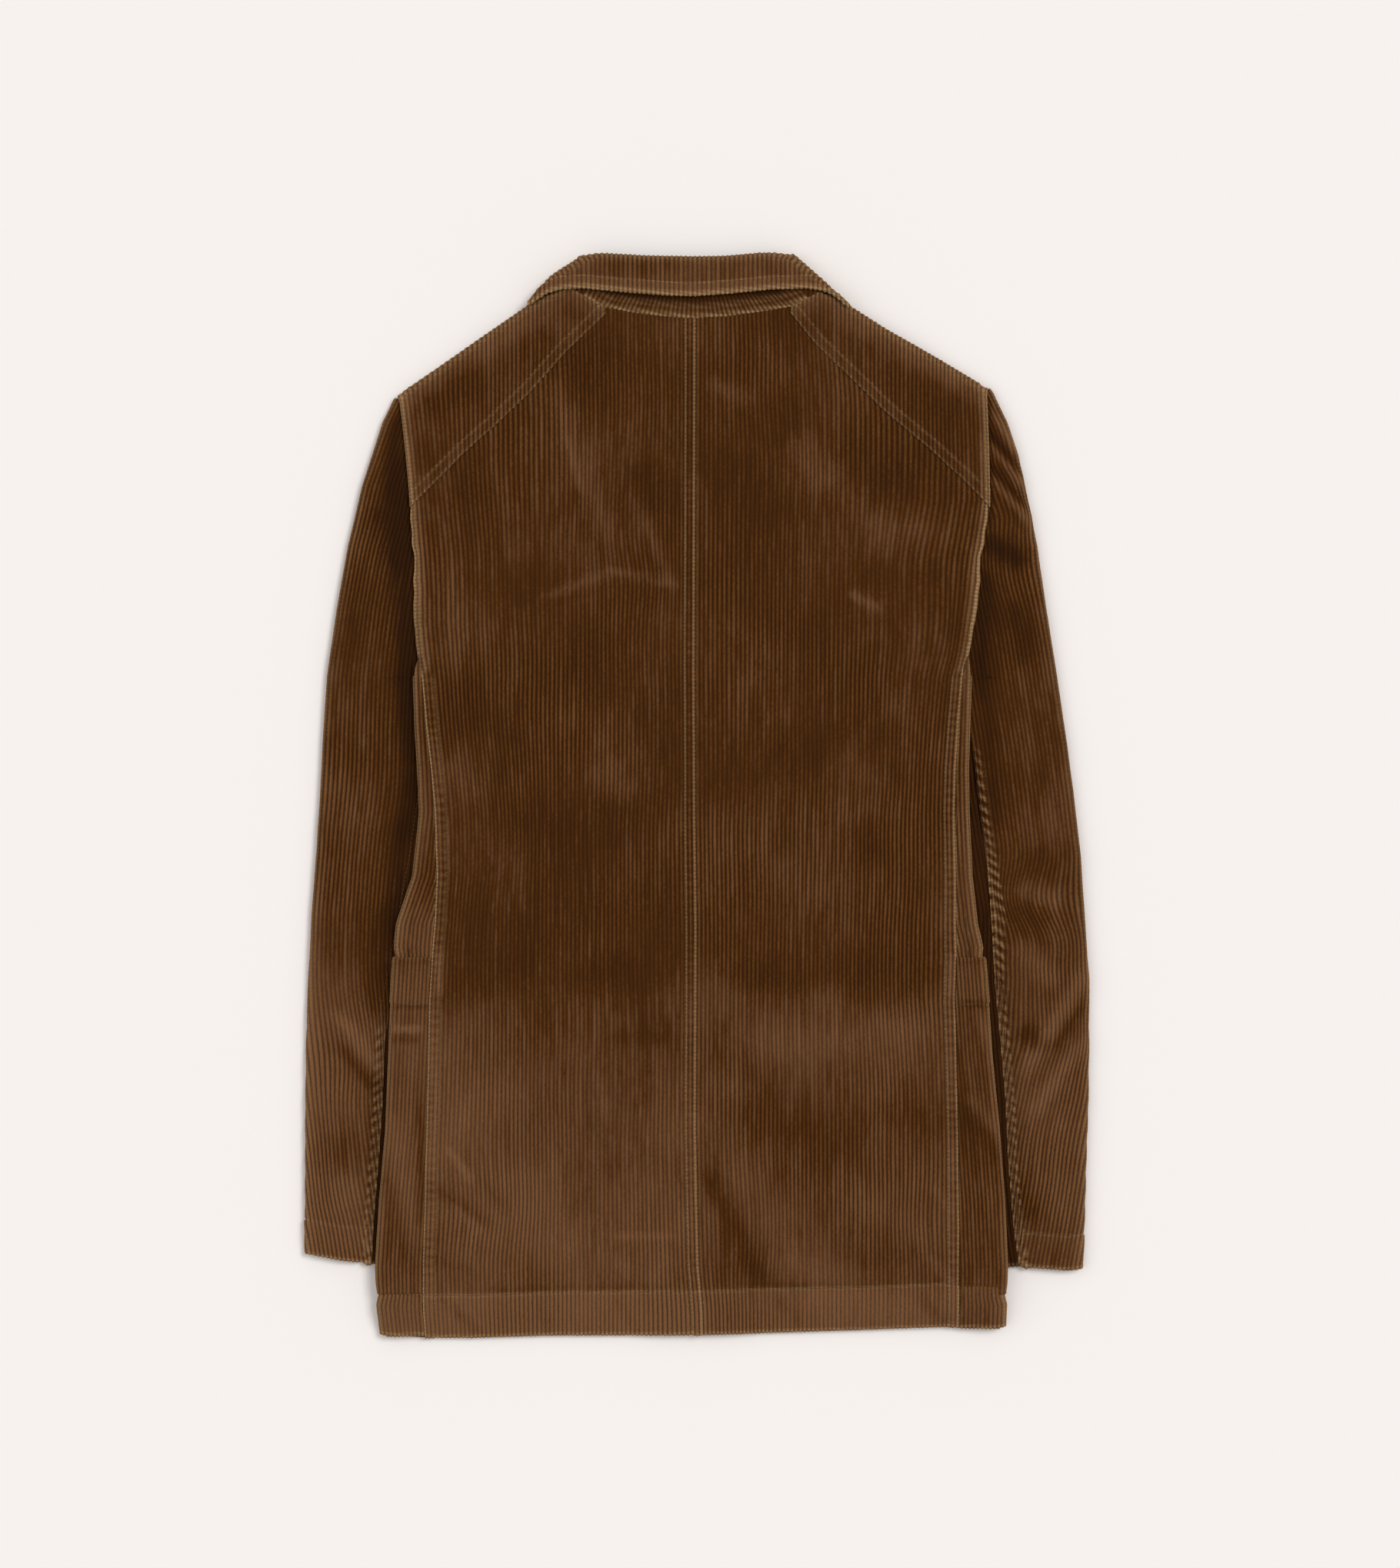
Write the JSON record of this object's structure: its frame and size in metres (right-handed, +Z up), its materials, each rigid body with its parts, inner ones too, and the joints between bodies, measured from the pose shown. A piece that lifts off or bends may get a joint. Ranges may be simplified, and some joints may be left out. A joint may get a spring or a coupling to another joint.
{
  "type": "corduroy jacket",
  "caption": "Hip-length wide-wale corduroy jacket laid flat with its back up, turned-down collar, patch pockets wrapping to the side-back seams, sleeves tucked under the body.",
  "frame": {"origin": "middle of the footprint, on the surface the jacket lies on", "axes": "+Y from the hem to the collar, +X to the wearer's right, +Z up from the surface"},
  "size_m": [0.5776, 0.7987, 0.0163],
  "materials": {
    "corduroy": "dark brown cotton corduroy, wide wales with a soft nap",
    "button": "dark brown, satin"
  },
  "bodies": {
    "root": {"back_left": "corduroy", "back_right": "corduroy", "front_left": "corduroy", "front_right": "corduroy", "pocket_left": "corduroy", "pocket_right": "corduroy", "top_sleeve_left": "corduroy", "top_sleeve_right": "corduroy", "under_sleeve_left": "corduroy", "under_sleeve_right": "corduroy", "collar": "corduroy", "collar_stand": "corduroy", "button_lower": "button", "button_middle": "button", "button_upper": "button"}
  },
  "joints": []
}
